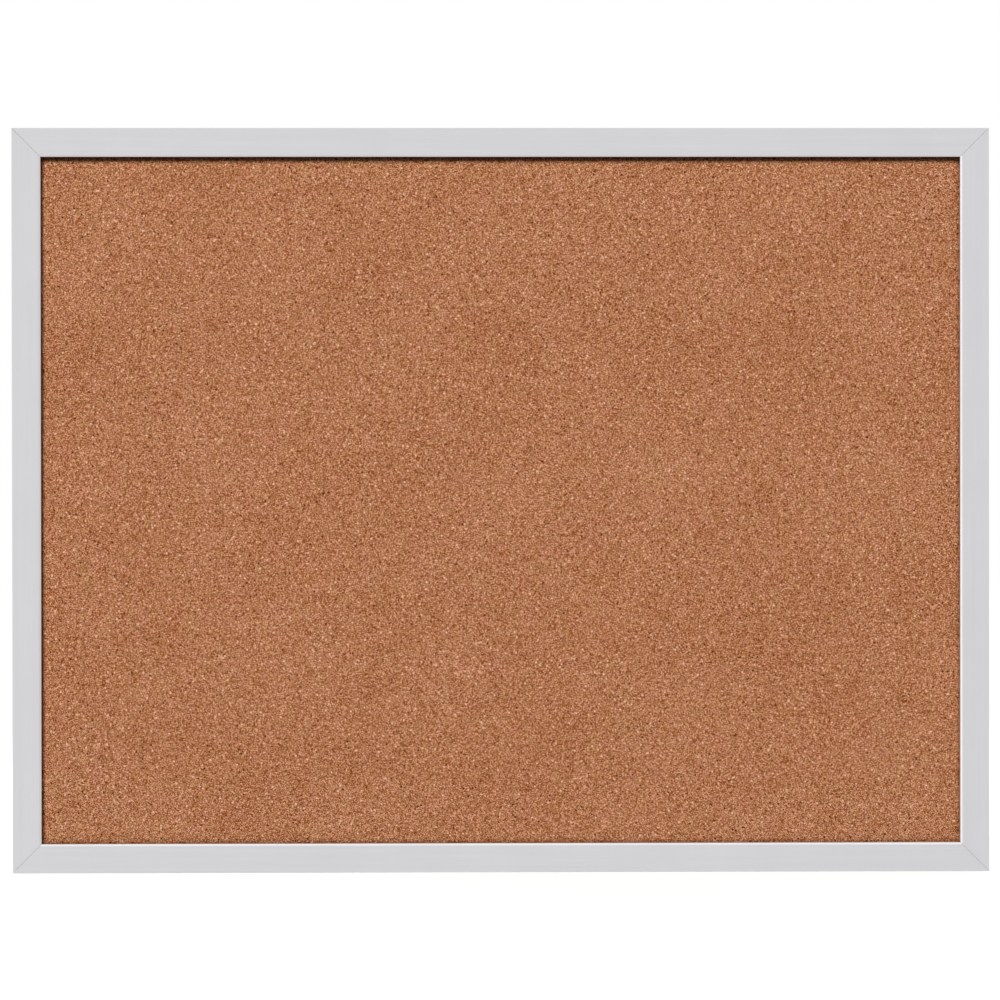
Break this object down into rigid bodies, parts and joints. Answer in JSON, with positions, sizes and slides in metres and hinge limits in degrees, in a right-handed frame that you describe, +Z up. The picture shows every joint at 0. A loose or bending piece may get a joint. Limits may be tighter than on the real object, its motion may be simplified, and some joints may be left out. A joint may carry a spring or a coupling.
{
  "type": "cork bulletin board",
  "caption": "Wall bulletin board: cork pinning surface on a fibreboard core, in a mitred silver aluminium frame, with sliding D-ring hangers and rubber bumpers on its back.",
  "frame": {"origin": "centre of the board on the wall plane, the plane of the four bumpers' back faces", "axes": "+Z up and +X right for a reader facing the board; +Y into the wall, so the cork faces -Y"},
  "size_m": [0.6, 0.0252, 0.457],
  "materials": {
    "anodised_aluminium": "satin",
    "cork": "matte",
    "fibreboard": "matte",
    "kraft_paper": "matte",
    "zinc_plated_steel": "satin",
    "black_oxide_steel": "satin",
    "spring_steel": "satin",
    "nickel_plated_steel": "gloss",
    "grey_rubber": "matte"
  },
  "bodies": {
    "frame": {"rail_top": "anodised_aluminium", "rail_bottom": "anodised_aluminium", "rail_left": "anodised_aluminium", "rail_right": "anodised_aluminium", "corner_angle_top_left": "zinc_plated_steel", "corner_angle_top_right": "zinc_plated_steel", "corner_angle_bottom_left": "zinc_plated_steel", "corner_angle_bottom_right": "zinc_plated_steel", "corner_shim_top_left": "zinc_plated_steel", "corner_shim_top_right": "zinc_plated_steel", "corner_shim_bottom_left": "zinc_plated_steel", "corner_shim_bottom_right": "zinc_plated_steel", "set_screws_top_left": "black_oxide_steel", "set_screws_top_right": "black_oxide_steel", "set_screws_bottom_left": "black_oxide_steel", "set_screws_bottom_right": "black_oxide_steel", "cork_sheet": "cork", "fibreboard_core": "fibreboard", "kraft_backing": "kraft_paper", "spring_clip_top_1": "spring_steel", "spring_clip_top_2": "spring_steel", "spring_clip_top_3": "spring_steel", "spring_clip_bottom_1": "spring_steel", "spring_clip_bottom_2": "spring_steel", "spring_clip_bottom_3": "spring_steel", "spring_clip_left_1": "spring_steel", "spring_clip_left_2": "spring_steel", "spring_clip_right_1": "spring_steel", "spring_clip_right_2": "spring_steel", "wall_bumper_top_left": "grey_rubber", "wall_bumper_top_right": "grey_rubber", "wall_bumper_bottom_left": "grey_rubber", "wall_bumper_bottom_right": "grey_rubber"},
    "hanger_left": {"hanger_strap_left": "nickel_plated_steel", "hanger_screw_left": "nickel_plated_steel", "hanger_nut_left": "zinc_plated_steel"},
    "ring_left": {"hanger_ring_left": "nickel_plated_steel"},
    "hanger_right": {"hanger_strap_right": "nickel_plated_steel", "hanger_screw_right": "nickel_plated_steel", "hanger_nut_right": "zinc_plated_steel"},
    "ring_right": {"hanger_ring_right": "nickel_plated_steel"}
  },
  "joints": [
    {"name": "hanger_slide_left", "type": "slide", "parent": "frame", "child": "hanger_left", "axis": [0, 0, 1], "range_m": [-0.288, 0.065]},
    {"name": "ring_hinge_left", "type": "hinge", "parent": "hanger_left", "child": "ring_left", "pos_m": [-0.2925, -0.00285, 0.13], "axis": [1, 0, 0], "range_deg": [0, 180]},
    {"name": "hanger_slide_right", "type": "slide", "parent": "frame", "child": "hanger_right", "axis": [0, 0, 1], "range_m": [-0.288, 0.065]},
    {"name": "ring_hinge_right", "type": "hinge", "parent": "hanger_right", "child": "ring_right", "pos_m": [0.2925, -0.00285, 0.13], "axis": [1, 0, 0], "range_deg": [0, 180]}
  ]
}
